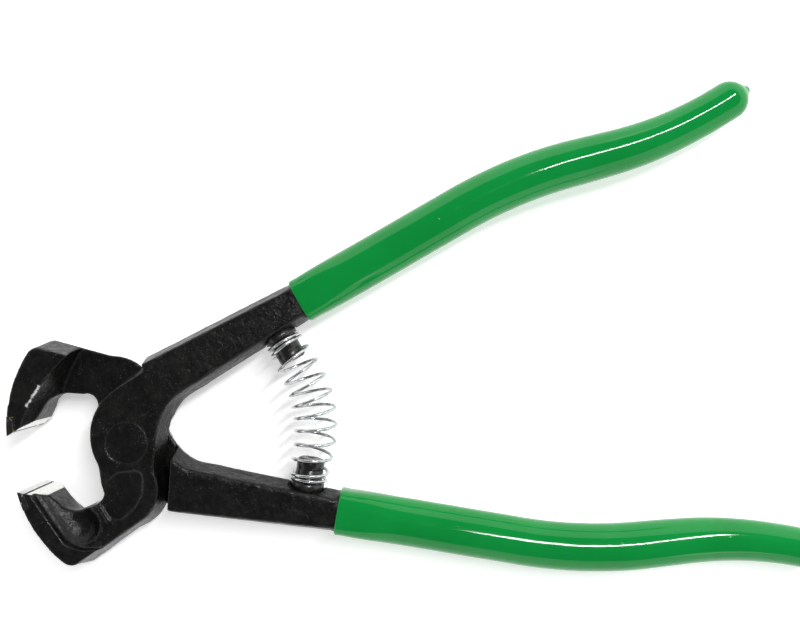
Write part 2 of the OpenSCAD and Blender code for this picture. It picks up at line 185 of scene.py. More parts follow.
def tube_of(name: str, points: Sequence[Vector], radii: Sequence[float],
            sides: int = 3) -> bpy.types.Object:
    """Sweeps a round section along points, as a closed mesh.

    Args:
        name: the piece's name.
        points: the centre line, in metres.
        radii: the radius at each point, in metres.
        sides: the bevel resolution of the round section.

    Returns:
        The new object.
    """
    curve = bpy.data.curves.new(name, "CURVE")
    curve.dimensions = "3D"
    curve.bevel_depth = 1.0
    curve.bevel_resolution = sides
    curve.use_fill_caps = True
    spline = curve.splines.new("POLY")
    spline.points.add(len(points) - 1)
    for knot, at, radius in zip(spline.points, points, radii):
        knot.co = (*at, 1.0)
        knot.radius = radius
    holder = bpy.data.objects.new(name + "_line", curve)
    bpy.context.scene.collection.objects.link(holder)
    bpy.context.view_layer.update()
    graph = bpy.context.evaluated_depsgraph_get()
    mesh = bpy.data.meshes.new_from_object(holder.evaluated_get(graph))
    bpy.data.objects.remove(holder)
    bpy.data.curves.remove(curve)
    bm = bmesh.new()
    bm.from_mesh(mesh)
    bpy.data.meshes.remove(mesh)
    bmesh.ops.remove_doubles(bm, verts=bm.verts, dist=0.005 * MM)
    bmesh.ops.recalc_face_normals(bm, faces=bm.faces)
    return new_piece(name, bm)


def turned(profile: Sequence[Pair], steps: int = 64) -> bmesh.types.BMesh:
    """Turns a profile on the Z axis into a closed solid.

    Args:
        profile: radius and height of each corner in millimetres, from one pole to the other.
        steps: the number of faces round the axis.

    Returns:
        A bmesh with its axis on Z.
    """
    bm = bmesh.new()
    line = [bm.verts.new((r * MM, 0.0, z * MM)) for r, z in profile]
    edges = [bm.edges.new(pair) for pair in zip(line, line[1:])]
    bmesh.ops.spin(bm, geom=line + edges, cent=(0, 0, 0), axis=(0, 0, 1), angle=math.tau,
                   steps=steps, use_merge=True)
    bmesh.ops.remove_doubles(bm, verts=bm.verts, dist=0.001 * MM)
    bmesh.ops.recalc_face_normals(bm, faces=bm.faces)
    return bm


def lofted(rings: Sequence[Sequence[Vector]]) -> bmesh.types.BMesh:
    """Draws a closed skin through rings of the same number of points.

    Args:
        rings: the rings, in order along the piece.

    Returns:
        A bmesh with both ends closed.
    """
    bm = bmesh.new()
    loop = bmesh.ops.create_circle(bm, cap_ends=False, radius=1.0, segments=len(rings[0]))["verts"]
    for vert, at in zip(loop, rings[0]):
        vert.co = at
    first = list(bm.edges)
    last = first
    for ring in rings[1:]:
        made = bmesh.ops.extrude_edge_only(bm, edges=last)["geom"]
        here = {g for g in made if isinstance(g, bmesh.types.BMVert)}
        last = [g for g in made if isinstance(g, bmesh.types.BMEdge) and here.issuperset(g.verts)]
        follow = {edge.other_vert(vert): vert for vert in here for edge in vert.link_edges}
        loop = [follow[v] for v in loop]
        for vert, at in zip(loop, ring):
            vert.co = at
    bmesh.ops.edgeloop_fill(bm, edges=first)
    bmesh.ops.edgeloop_fill(bm, edges=last)
    bmesh.ops.recalc_face_normals(bm, faces=bm.faces)
    return bm


# ---------------------------------------------------------------- finishes


class Sheet:
    """A material's node tree, with short calls for the nodes that the finishes share."""

    def __init__(self, name: str) -> None:
        """Starts a material of one Principled shader.

        Args:
            name: the material's name.
        """
        self.material = bpy.data.materials.new(name)
        self.material.use_nodes = True
        self.tree = self.material.node_tree
        self.tree.nodes.clear()
        self.out = self.tree.nodes.new("ShaderNodeOutputMaterial")
        self.shader = self.tree.nodes.new("ShaderNodeBsdfPrincipled")
        self.tree.links.new(self.shader.outputs["BSDF"], self.out.inputs["Surface"])
        self.coords = self.tree.nodes.new("ShaderNodeTexCoord").outputs["Object"]

    def set(self, **values: object) -> None:
        """Sets constants on the shader's own sockets; an underscore stands for a space."""
        for key, value in values.items():
            self.shader.inputs[key.replace("_", " ")].default_value = value

    def link(self, source: bpy.types.NodeSocket, socket: str) -> None:
        """Links an output to one of the shader's sockets."""
        self.tree.links.new(source, self.shader.inputs[socket])

    def mapped(self, scale: Sequence[float], turn: float = 0.0) -> bpy.types.NodeSocket:
        """Object coordinates, turned about Z and then scaled.

        Args:
            scale: the scale along each axis.
            turn: the turn about Z, in radians.

        Returns:
            The vector output.
        """
        node = self.tree.nodes.new("ShaderNodeMapping")
        node.inputs["Scale"].default_value = scale
        node.inputs["Rotation"].default_value = (0.0, 0.0, turn)
        self.tree.links.new(self.coords, node.inputs["Vector"])
        return node.outputs["Vector"]

    def grain(self, scale: float, detail: float = 4.0, rough: float = 0.5,
              at: bpy.types.NodeSocket | None = None) -> bpy.types.NodeSocket:
        """Cloudy noise.

        Args:
            scale: features per metre, or per unit of a mapped vector.
            detail: octaves.
            rough: strength of the finer octaves.
            at: the vector it is read at, or None for Object coordinates.

        Returns:
            The factor output.
        """
        node = self.tree.nodes.new("ShaderNodeTexNoise")
        node.inputs["Scale"].default_value = scale
        node.inputs["Detail"].default_value = detail
        node.inputs["Roughness"].default_value = rough
        self.tree.links.new(at or self.coords, node.inputs["Vector"])
        return node.outputs["Fac"]

    def cells(self, scale: float) -> bpy.types.NodeSocket:
        """Distance to scattered points, for pits and specks."""
        node = self.tree.nodes.new("ShaderNodeTexVoronoi")
        node.inputs["Scale"].default_value = scale
        self.tree.links.new(self.coords, node.inputs["Vector"])
        return node.outputs["Distance"]

    def ramp(self, source: bpy.types.NodeSocket, low: float, high: float,
             to_low: float = 0.0, to_high: float = 1.0) -> bpy.types.NodeSocket:
        """Carries a range of values to another, smoothly and clamped.

        Args:
            source: the value.
            low: where the ramp starts.
            high: where it ends.
            to_low: the result at the start.
            to_high: the result at the end.

        Returns:
            The result output.
        """
        node = self.tree.nodes.new("ShaderNodeMapRange")
        node.interpolation_type = "SMOOTHSTEP"
        node.inputs["From Min"].default_value = low
        node.inputs["From Max"].default_value = high
        node.inputs["To Min"].default_value = to_low
        node.inputs["To Max"].default_value = to_high
        self.tree.links.new(source, node.inputs["Value"])
        return node.outputs["Result"]

    def math(self, kind: str, a: bpy.types.NodeSocket,
             b: bpy.types.NodeSocket | float) -> bpy.types.NodeSocket:
        """One Math node.

        Args:
            kind: its operation.
            a: the first value.
            b: the second value, or a constant.

        Returns:
            The value output.
        """
        node = self.tree.nodes.new("ShaderNodeMath")
        node.operation = kind
        self.tree.links.new(a, node.inputs[0])
        if isinstance(b, float):
            node.inputs[1].default_value = b
        else:
            self.tree.links.new(b, node.inputs[1])
        return node.outputs["Value"]

    def mix(self, share: bpy.types.NodeSocket, a: bpy.types.NodeSocket | Colour,
            b: bpy.types.NodeSocket | Colour) -> bpy.types.NodeSocket:
        """Mixes two colours.

        Args:
            share: the share of the second.
            a: a colour or an output.
            b: a colour or an output.

        Returns:
            The colour output.
        """
        node = self.tree.nodes.new("ShaderNodeMix")
        node.data_type = "RGBA"
        self.tree.links.new(share, node.inputs["Factor"])
        for socket, value in ((node.inputs[6], a), (node.inputs[7], b)):
            if isinstance(value, bpy.types.NodeSocket):
                self.tree.links.new(value, socket)
            else:
                socket.default_value = (*value, 1.0)
        return node.outputs[2]

    def bump(self, height: bpy.types.NodeSocket, depth: float, strength: float = 1.0) -> None:
        """Adds a bump under the bumps so far.

        Args:
            height: the height, from 0 to 1.
            depth: the depth in metres that a height of 1 stands for.
            strength: the share of it that shows.
        """
        node = self.tree.nodes.new("ShaderNodeBump")
        node.inputs["Distance"].default_value = depth
        node.inputs["Strength"].default_value = strength
        self.tree.links.new(height, node.inputs["Height"])
        normal = self.shader.inputs["Normal"]
        if normal.links:
            self.tree.links.new(normal.links[0].from_socket, node.inputs["Normal"])
        self.tree.links.new(node.outputs["Normal"], normal)

    def height(self) -> bpy.types.NodeSocket:
        """The Z of Object coordinates, in metres."""
        node = self.tree.nodes.new("ShaderNodeSeparateXYZ")
        self.tree.links.new(self.coords, node.inputs["Vector"])
        return node.outputs["Z"]

    def radius(self) -> bpy.types.NodeSocket:
        """Distance from the pivot axis, in metres."""
        flat = self.mapped((1.0, 1.0, 0.0))
        node = self.tree.nodes.new("ShaderNodeVectorMath")
        node.operation = "LENGTH"
        self.tree.links.new(flat, node.inputs[0])
        return node.outputs["Value"]

    def mark(self, name: str) -> bpy.types.NodeSocket:
        """A number that the mesh carries on its points or faces."""
        node = self.tree.nodes.new("ShaderNodeAttribute")
        node.attribute_name = name
        return node.outputs["Fac"]

    def edges(self) -> bpy.types.NodeSocket:
        """How far the surface is a ridge, 0.5 on the flat."""
        return self.tree.nodes.new("ShaderNodeNewGeometry").outputs["Pointiness"]


@dataclass(frozen=True)
class ForgedPaint:
    """Semi-gloss black paint on a pebbled forging, scratched where the boss was ground."""

    deep: Colour = (0.0016, 0.0020, 0.0016)
    dusty: Colour = (0.0062, 0.0072, 0.0056)
    speck: Colour = (0.20, 0.20, 0.185)
    # Grey of the sharp crests: partly paint worn off the edges, partly a painted highlight along them.
    edge_grey: Colour = (0.13, 0.13, 0.12)
    # Bright steel: the ground bevel, and a painted highlight along the rear jaw's rim.
    ground: Colour = (0.80, 0.80, 0.78)
    boss_height: float = 6.3 * MM
    boss_radius: float = 11.5 * MM

    def build(self) -> bpy.types.Material:
        """Makes the material."""
        s = Sheet("black_forging_paint")
        pebbles = s.grain(1700.0, 3.0, 0.55)
        clouds = s.grain(210.0, 3.0)
        patches = s.grain(420.0, 2.0)
        colour = s.mix(s.ramp(clouds, 0.35, 0.7), self.deep, self.dusty)
        specks = s.math("MULTIPLY", s.ramp(s.cells(1500.0), 0.17, 0.08), s.ramp(patches, 0.48, 0.62))
        colour = s.mix(s.math("MULTIPLY", specks, 0.55), colour, self.speck)
        # Grey along the sharp crests, in patches: partly worn paint, partly a painted highlight on the
        # crests.
        ridge_patches = s.ramp(s.grain(420.0, 4.0, 0.7), 0.50, 0.66)
        ridge = s.math("MULTIPLY", s.ramp(s.edges(), 0.545, 0.62), ridge_patches)
        colour = s.mix(s.math("MULTIPLY", ridge, 0.6), colour, self.edge_grey)
        # Bright steel on the ground bevel, and as a painted highlight along the rear jaw's rim.
        bare = s.ramp(s.mark(BARE), 0.3, 0.9)
        s.link(s.mix(bare, colour, self.ground), "Base Color")
        s.link(s.math("MULTIPLY", bare, 0.8), "Metallic")
        s.link(s.ramp(s.grain(900.0, 4.0), 0.3, 0.7, 0.26, 0.40), "Roughness")
        s.set(Specular_IOR_Level=0.29)
        s.bump(clouds, 0.22 * MM, 0.5)
        s.bump(s.grain(620.0, 2.0), 0.34 * MM, 0.55)
        s.bump(pebbles, 0.13 * MM, 0.8)
        s.bump(s.math("MULTIPLY", self.strokes(s), self.boss_face(s)), 0.05 * MM, 0.7)
        return s.material

    def strokes(self, s: Sheet) -> bpy.types.NodeSocket:
        """The grinding strokes, a little askew of the tool's length."""
        return s.grain(1.0, 3.0, 0.6, s.mapped((2300.0, 90.0, 300.0), math.radians(3.0)))

    def boss_face(self, s: Sheet) -> bpy.types.NodeSocket:
        """Where the outer faces of the boss are, from 0 to 1."""
        height = s.math("ABSOLUTE", s.height(), 0.0)
        outer = s.ramp(height, self.boss_height - 0.1 * MM, self.boss_height)
        return s.math("MULTIPLY", outer, s.ramp(s.radius(), self.boss_radius, 0.8 * self.boss_radius))


@dataclass(frozen=True)
class TurnedPaint:
    """Black finish on turned or ground steel, with fine tool marks."""

    deep: Colour = (0.006, 0.0065, 0.006)
    # Lighter black where the paint wears thin.
    lightened: Colour = (0.040, 0.041, 0.038)

    def build(self) -> bpy.types.Material:
        """Makes the material."""
        s = Sheet("black_turned_steel")
        rub = s.grain(500.0, 4.0, 0.6)
        edge_grey = s.math("MULTIPLY", s.ramp(s.edges(), 0.52, 0.60), s.ramp(rub, 0.40, 0.6))
        thin = s.math("MAXIMUM", edge_grey, s.ramp(rub, 0.62, 0.8, 0.0, 0.5))
        s.link(s.mix(thin, self.deep, self.lightened), "Base Color")
        s.link(s.ramp(s.grain(1200.0, 3.0), 0.3, 0.7, 0.24, 0.42), "Roughness")
        s.set(Metallic=0.25, Coat_Weight=0.2, Coat_Roughness=0.2)
        marks = s.grain(1.0, 2.0, 0.5, s.mapped((2400.0, 130.0, 2400.0)))
        s.bump(marks, 0.03 * MM, 0.6)
        s.bump(s.grain(900.0, 3.0), 0.05 * MM, 0.4)
        return s.material


@dataclass(frozen=True)
class GroundCarbide:
    """Tungsten carbide, ground on its bevel and dull on its sides."""

    dark: Colour = (0.55, 0.56, 0.56)
    bright: Colour = (0.86, 0.86, 0.85)
    paint: Colour = (0.006, 0.007, 0.006)

    def build(self) -> bpy.types.Material:
        """Makes the material."""
        s = Sheet("ground_carbide")
        strokes = s.grain(1.0, 4.0, 0.65, s.mapped((900.0, 900.0, 5200.0)))
        bare = s.mark(BARE)
        metal = s.mix(s.ramp(strokes, 0.35, 0.68), self.dark, self.bright)
        chips = s.math("MULTIPLY", s.ramp(s.grain(900.0, 4.0, 0.7), 0.58, 0.68), 0.35)
        s.link(s.mix(s.math("MAXIMUM", bare, chips), self.paint, metal), "Base Color")
        s.link(s.math("MULTIPLY", bare, 0.85), "Metallic")
        s.link(s.ramp(s.grain(1500.0, 3.0), 0.3, 0.7, 0.32, 0.50), "Roughness")
        s.bump(strokes, 0.03 * MM, 0.5)
        return s.material


@dataclass(frozen=True)
class Brass:
    """Brazing brass, flowed, with darker flux stains."""

    clean: Colour = (0.62, 0.40, 0.12)
    stained: Colour = (0.16, 0.085, 0.02)
    paint: Colour = (0.006, 0.007, 0.006)

    def build(self) -> bpy.types.Material:
        """Makes the material."""
        s = Sheet("braze_brass")
        stain = s.grain(900.0, 4.0, 0.6)
        painted = s.ramp(s.grain(420.0, 2.0), 0.62, 0.52)
        brass = s.mix(s.ramp(stain, 0.40, 0.62), self.clean, self.stained)
        s.link(s.mix(painted, brass, self.paint), "Base Color")
        s.link(s.ramp(painted, 0.0, 1.0, 0.85, 0.0), "Metallic")
        s.link(s.ramp(stain, 0.3, 0.7, 0.28, 0.50), "Roughness")
        s.bump(s.grain(1400.0, 3.0), 0.06 * MM, 0.5)
        return s.material


@dataclass(frozen=True)
class ZincWire:
    """Bright zinc plate on drawn spring wire."""

    bright: Colour = (0.60, 0.61, 0.62)
    dull: Colour = (0.27, 0.28, 0.29)

    def build(self) -> bpy.types.Material:
        """Makes the material."""
        s = Sheet("zinc_wire")
        patch = s.grain(700.0, 4.0, 0.6)
        s.link(s.mix(s.ramp(patch, 0.45, 0.75), self.bright, self.dull), "Base Color")
        s.link(s.ramp(patch, 0.3, 0.7, 0.16, 0.34), "Roughness")
        s.set(Metallic=1.0)
        s.bump(s.grain(3500.0, 2.0), 0.012 * MM, 0.5)
        return s.material


@dataclass(frozen=True)
class DippedVinyl:
    """Glossy green vinyl, dipped, with the slow waves and dust of a dip."""

    green: Colour = (0.0010, 0.225, 0.034)
    light: Colour = (0.0018, 0.250, 0.042)

    def build(self) -> bpy.types.Material:
        """Makes the material."""
        s = Sheet("green_dipped_vinyl")
        flow = s.grain(60.0, 3.0)
        s.link(s.mix(s.ramp(flow, 0.3, 0.7), self.green, self.light), "Base Color")
        s.link(s.ramp(s.grain(260.0, 3.0), 0.3, 0.7, 0.055, 0.095), "Roughness")
        s.set(IOR=1.46, Specular_IOR_Level=0.36)
        waves = s.grain(1.0, 2.0, 0.4, s.mapped((28.0, 120.0, 120.0)))
        s.bump(waves, 0.30 * MM, 0.35)
        s.bump(s.ramp(s.cells(420.0), 0.10, 0.03), 0.03 * MM, 0.5)
        return s.material


@dataclass(frozen=True)
class PaleCard:
    """The plain white floor."""

    white: Colour = (0.94, 0.94, 0.94)
    whiter: Colour = (0.95, 0.95, 0.95)
    glow: float = 0.42

    def build(self) -> bpy.types.Material:
        """Makes the material."""
        s = Sheet("pale_floor")
        s.link(s.mix(s.ramp(s.grain(14.0, 2.0), 0.3, 0.7), self.white, self.whiter), "Base Color")
        s.set(Roughness=0.9, Specular_IOR_Level=0.1)
        s.set(Emission_Color=(1.0, 1.0, 1.0, 1.0), Emission_Strength=self.glow)
        return s.material


@dataclass
class Finishes:
    """One material of each finish, shared by the pieces that have it."""

    forged: bpy.types.Material = field(default_factory=lambda: ForgedPaint().build())
    turned: bpy.types.Material = field(default_factory=lambda: TurnedPaint().build())
    carbide: bpy.types.Material = field(default_factory=lambda: GroundCarbide().build())
    brass: bpy.types.Material = field(default_factory=lambda: Brass().build())
    zinc: bpy.types.Material = field(default_factory=lambda: ZincWire().build())
    vinyl: bpy.types.Material = field(default_factory=lambda: DippedVinyl().build())
    floor: bpy.types.Material = field(default_factory=lambda: PaleCard().build())


def dress(piece: bpy.types.Object, material: bpy.types.Material, slot: str, body: str | None,
          *nodes: str) -> bpy.types.Object:
    """Gives a piece its material and its body, and hides the nodes it stands for.

    Args:
        piece: the finished piece.
        material: its finish.
        slot: the record's material slot; not used.
        body: the body it rides on, or None for a piece that rides on no body.
        nodes: the nodes that it replaces.

    Returns:
        The piece.
    """
    piece.data.materials.clear()
    piece.data.materials.append(material)
    if body is not None:
        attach(piece, body)
    if nodes:
        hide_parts(*nodes)
    log.info("%s: %d faces", piece.name, len(piece.data.polygons))
    return piece


# ---------------------------------------------------------------- levers


ANYWHERE = (-math.inf, math.inf)
TROUGH_CORNER = Vector((-13.9, -14.0))
TROUGH_LEAN = math.radians(21.0)


@dataclass(frozen=True)
class Zone:
    """A part of a closed lever, in millimetres, that is smoothed alike."""

    rounds: int
    x: Pair = ANYWHERE
    y: Pair = ANYWHERE
    z: Pair = ANYWHERE
    from_pivot: float = math.inf
    from_seam: float = math.inf

    def holds(self, x: float, y: float, z: float) -> bool:
        """Tells whether a point is in the zone.

        Args:
            x: the point's place along the lever.
            y: its place across the lever.
            z: its height over the lap plane.

        Returns:
            True for a point inside every limit.
        """
        inside = self.x[0] < x < self.x[1] and self.y[0] < y < self.y[1] and self.z[0] < z < self.z[1]
        return inside and math.hypot(x, y) < self.from_pivot and abs(seam_distance(x, y)) < self.from_seam


def seam_distance(x: float, y: float) -> float:
    """Distance right of the seam where the jaw's trough meets the neck, in millimetres."""
    return (x - TROUGH_CORNER.x) * math.cos(TROUGH_LEAN) + (y - TROUGH_CORNER.y) * math.sin(TROUGH_LEAN)


# The first zone that holds a point counts.
ZONES = {
    "cutting tip": Zone(2, x=(-math.inf, -21.0), y=(-7.5, math.inf)),
    "trough seam": Zone(40, x=(-math.inf, -12.0), y=(-20.0, -5.0), z=(4.0, 7.6), from_seam=2.4),
    "trough floor": Zone(20, x=(-math.inf, -12.0), y=(-19.5, -6.5), z=(3.2, 6.2)),
    "jaw rim": Zone(3, z=(7.6, math.inf)),
    "neck panel": Zone(3, x=(-12.5, 1.5), y=(-17.0, -6.0), z=(5.2, math.inf)),
    "boss face": Zone(2, z=(5.0, math.inf), from_pivot=9.0),
    "lap face": Zone(2, x=(-19.0, 11.0), z=(-math.inf, 0.6)),
    "arm": Zone(14, x=(14.0, math.inf)),
    "back of the jaw": Zone(14, y=(-math.inf, -14.0)),
    "everything else": Zone(6),
}


@dataclass
class Forging:
    """One lever: its node's shape with the soft edges and the uneven skin of a forging."""

    side: Side
    voxel: float = 0.3 * MM
    core_end: float = 60.0 * MM
    still_rounds: int = 2
    skin_depth: float = 0.07 * MM
    wide_swell: float = 5.0 * MM
    fine_swell: float = 1.8 * MM
    crest_height: float = 0.28 * MM
    crest_floor: float = 5.8
    crest_at: Pair = (-11.95, -13.5)
    crest_lean: float = 0.12
    crest_middle: float = -13.4
    crest_half: float = 2.9
    crest_width: float = 0.42
    # A painted highlight along the rear jaw's rim, drawn as a streak of bright bare steel.
    glint_start: Pair = (-23.9, -7.6)
    glint_end: Pair = (-21.3, -12.6)
    glint_width: float = 0.55
    glint_patch: float = 0.7 * MM
    glint_below: float = -7.8 * MM
    bevel_reach: float = 0.12 * MM
    bevel_match: float = 0.85

    def softness(self, p: Vector) -> int:
        """The rounds of smoothing that a point of the closed lever gets."""
        x, y, z = (c / MM for c in p)
        return next(zone.rounds for zone in ZONES.values() if zone.holds(x, y, z))

    def lightened(self, p: Vector) -> float:
        """How far the rear jaw's rim that looks up is painted as bright bare steel at a point, from 0 to 1: a
        painted highlight along the rim.
        """
        if self.side is Side.FRONT or p.z > self.glint_below:
            return 0.0
        low, high = Vector(self.glint_start), Vector(self.glint_end)
        flat = Vector((p.x, p.y)) / MM
        share = (flat - low).dot(high - low) / (high - low).length_squared
        off = (flat - low.lerp(high, min(1.0, max(0.0, share)))).length
        patchy = 0.6 * noise.noise(p / self.glint_patch)
        return max(0.0, 1.0 - off / self.glint_width + patchy)

    def crest(self, p: Vector) -> float:
        """Height of the raised crest beside the neck's panel at a point, from 0 to 1."""
        x, y, z = (c / MM for c in p)
        along = (y - self.crest_middle) / self.crest_half
        if z < self.crest_floor or abs(along) >= 1.0:
            return 0.0
        across = (x - self.crest_at[0]) * math.cos(self.crest_lean)
        across += (y - self.crest_at[1]) * math.sin(self.crest_lean)
        return math.exp(-(across / self.crest_width) ** 2) * (1.0 - along ** 4)

    def on_bevel(self, vert: bmesh.types.BMVert) -> bool:
        """Tells whether a vertex of the closed lever lies on the ground bevel."""
        near = abs((vert.co - TIP).dot(BEVEL_FACING)) < self.bevel_reach
        return near and vert.normal.dot(BEVEL_FACING) > self.bevel_match

    def build(self, finishes: Finishes) -> bpy.types.Object:
        """Makes the lever.

        Args:
            finishes: the materials.

        Returns:
            The piece.
        """
        node = f"{self.side.value}_lever"
        to_rest = CLOSED.to_rest(self.side)
        bm = merged_copy(node)
        bm.transform(CLOSED.to_closed(self.side))
        whole = list(bm.verts) + list(bm.edges) + list(bm.faces)
        cut = bmesh.ops.bisect_plane(bm, geom=whole, plane_co=(self.core_end, 0, 0), plane_no=(1, 0, 0),
                                     clear_outer=True)["geom_cut"]
        bmesh.ops.edgeloop_fill(bm, edges=[g for g in cut if isinstance(g, bmesh.types.BMEdge)])
        piece = new_piece(f"{self.side.value}_forging", bm)
        remesh = piece.modifiers.new("skin", "REMESH")
        remesh.mode = "VOXEL"
        remesh.voxel_size = self.voxel
        bake_modifiers(piece)

        bm = bmesh.new()
        bm.from_mesh(piece.data)
        bare = bm.verts.layers.float.new(BARE)
        rounds = {v: self.softness(v.co) for v in bm.verts}
        for turn in range(max(rounds.values())):
            moving = [v for v, n in rounds.items() if n > turn]
            bmesh.ops.smooth_vert(bm, verts=moving, factor=0.5,
                                  use_axis_x=True, use_axis_y=True, use_axis_z=True)
        bm.normal_update()
        for vert in bm.verts:
            # The ground bevel is bare steel; the rear jaw's rim gets a painted highlight in bare steel.
            vert[bare] = 1.0 if self.on_bevel(vert) else self.lightened(vert.co)
            lift = self.crest_height * self.crest(vert.co)
            if rounds[vert] > self.still_rounds:
                swell = noise.noise(vert.co / self.wide_swell) + 0.5 * noise.noise(vert.co / self.fine_swell)
                lift += swell * self.skin_depth
            vert.co += vert.normal * lift
        bm.transform(to_rest)
        bm.to_mesh(piece.data)
        bm.free()
        piece.data.polygons.foreach_set("use_smooth", [True] * len(piece.data.polygons))
        return dress(piece, finishes.forged, "black_paint", self.side.value, node)


# ---------------------------------------------------------------- cutting edges


@dataclass
class CuttingEdge:
    """A carbide insert, the braze under it and the bead that the braze leaves round it."""

    side: Side
    edge_round: float = 0.09 * MM
    face_radius: float = 33.0
    face_lean: float = 9.0
    insert_height: float = 4.6
    insert_depth: float = 1.6
    seam_offset: float = 0.07
    seam_sink: float = 0.02
    bead: float = 0.12
    bead_wander: float = 1.1 * MM
    half_width: float = 8.3
    across_steps: int = 26
    side_steps: int = 6

    def softened(self, node: str, name: str) -> bpy.types.Object:
        """Copies a node and rounds its sharp edges a little.

        Args:
            node: the node.
            name: the piece's name.

        Returns:
            The piece.
        """
        bm = merged_copy(node)
        bmesh.ops.dissolve_limit(bm, angle_limit=math.radians(1.0), verts=bm.verts, edges=bm.edges)
        sharp = [e for e in bm.edges if len(e.link_faces) == 2 and e.calc_face_angle() > math.radians(25.0)]
        bmesh.ops.bevel(bm, geom=sharp, offset=self.edge_round, offset_type="OFFSET", segments=2,
                        profile=0.5, affect="EDGES", material=-1, clamp_overlap=True)
        bmesh.ops.recalc_face_normals(bm, faces=bm.faces)
        bm.normal_update()
        bare = bm.faces.layers.float.new(BARE)
        facing = CLOSED.to_rest(self.side).to_3x3() @ BEVEL_FACING
        for face in bm.faces:
            face[bare] = 1.0 if face.normal.dot(facing) > 0.9 else 0.0
        return new_piece(name, bm, smooth=False)

    def seam_point(self, depth: float, width: float) -> Vector:
        """A point on the seam at the back of the insert.

        Args:
            depth: how far inside the end face it lies, in millimetres.
            width: its place across the jaw, in millimetres.

        Returns:
            The point in the closed frame, in metres.
        """
        tip = math.radians(180.0 - self.face_lean)
        outward = Vector((math.cos(tip), math.sin(tip), 0.0))
        centre = Vector((-JAW_REACH, 0.0, 0.0)) - self.face_radius * outward
        turn = tip + (self.insert_height + self.seam_offset) / self.face_radius
        radius = self.face_radius - depth
        return (centre + Vector((radius * math.cos(turn), radius * math.sin(turn), width))) * MM

    def seam(self) -> list[Vector]:
        """The line of the seam: in along one side, over the end face, and back along the other."""
        inwards = [self.insert_depth * (i + 1) / self.side_steps for i in range(self.side_steps)]
        route = [self.seam_point(depth, self.half_width) for depth in reversed(inwards)]
        for i in range(self.across_steps + 1):
            width = self.half_width * (1.0 - 2.0 * i / self.across_steps)
            route.append(self.seam_point(self.seam_sink, width))
        return route + [self.seam_point(depth, -self.half_width) for depth in inwards]

    def build(self, finishes: Finishes) -> list[bpy.types.Object]:
        """Makes the insert and the bead, and gives the braze its brass.

        Args:
            finishes: the materials.

        Returns:
            The insert and the bead.
        """
        body = self.side.value
        insert = self.softened(f"{body}_carbide", f"{body}_insert")
        dress(insert, finishes.carbide, "carbide", body, f"{body}_carbide")
        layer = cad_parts[f"{body}_braze"]
        layer.data.materials.clear()
        layer.data.materials.append(finishes.brass)

        route = self.seam()
        radii = [self.bead * MM * (0.75 + 0.5 * noise.noise(p / self.bead_wander)) for p in route]
        bead = tube_of(f"{body}_braze_bead", [CLOSED.to_rest(self.side) @ p for p in route], radii, 2)
        dress(bead, finishes.brass, "braze", body)
        return [insert, bead]


# ---------------------------------------------------------------- pivot and pegs


@dataclass
class PivotRivet:
    """The rivet: a shank between two countersunk heads ground flush with the boss."""

    top: float = 6.43
    shank: float = 3.5
    head: float = 5.2
    head_depth: float = 1.8
    rim: float = 0.14

    def build(self, finishes: Finishes) -> bpy.types.Object:
        """Makes the rivet.

        Args:
            finishes: the materials.

        Returns:
            The piece.
        """
        face = [(0.0, self.top), (1.6, self.top + 0.01), (3.4, self.top)]
        rim = [(self.head - 2.2 * self.rim, self.top - 0.02), (self.head - self.rim, self.top - 0.07),
               (self.head - 0.03, self.top - 0.2)]
        seat = self.top - self.head_depth
        under = [(self.shank + 0.1, seat), (self.shank, seat - 0.2)]
        half = face + rim + under
        piece = new_piece("rivet", turned(half + [(r, -z) for r, z in reversed(half)], 96))
        return dress(piece, finishes.forged, "black_paint_ground", Side.REAR.value, "pivot_rivet")


@dataclass
class SpringPeg:
    """A turned peg with a collar at its foot and a chamfered, centre-drilled end."""

    side: Side
    along: float = 44.0
    foot: float = 8.0
    tilt: float = math.radians(5.3)
    radius: float = 3.4
    length: float = 6.4
    collar: float = 4.2
    collar_top: float = 0.4
    groove: float = 3.7
    groove_depth: float = 0.07
    seat: float = 1.7
    shank: float = 2.0
    shank_length: float = 4.0

    def build(self, finishes: Finishes) -> bpy.types.Object:
        """Makes the peg.

        Args:
            finishes: the materials.

        Returns:
            The piece.
        """
        r, top, low = self.radius, self.length, -self.seat - self.shank_length
        end = [(0.0, top - 0.45), (0.5, top - 0.25), (0.75, top), (r - 0.75, top),
               (r - 0.25, top - 0.2), (r, top - 0.7)]
        groove = [(r, self.groove + 0.2), (r - self.groove_depth, self.groove + 0.1),
                  (r - self.groove_depth, self.groove - 0.1), (r, self.groove - 0.2)]
        collar = [(r, self.collar_top + 0.35), (r + 0.12, self.collar_top + 0.1),
                  (self.collar - 0.15, self.collar_top), (self.collar, self.collar_top - 0.15),
                  (self.collar, -self.seat)]
        shank = [(self.shank, -self.seat), (self.shank, low + 0.2), (self.shank - 0.2, low), (0.0, low)]
        profile = end + groove + collar + shank
        bm = turned(profile, 72)
        place = Matrix.Translation(Vector((self.along, self.foot, 0.0)) * MM)
        lean = Matrix.Rotation(self.tilt, 4, "Z") @ Matrix.Rotation(math.radians(90.0), 4, "X")
        bm.transform(CLOSED.to_rest(self.side) @ place @ lean)
        name = self.side.value
        piece = new_piece(f"{name}_spring_peg", bm)
        return dress(piece, finishes.turned, "black_paint_ground", name, f"{name}_peg")


# ---------------------------------------------------------------- spring


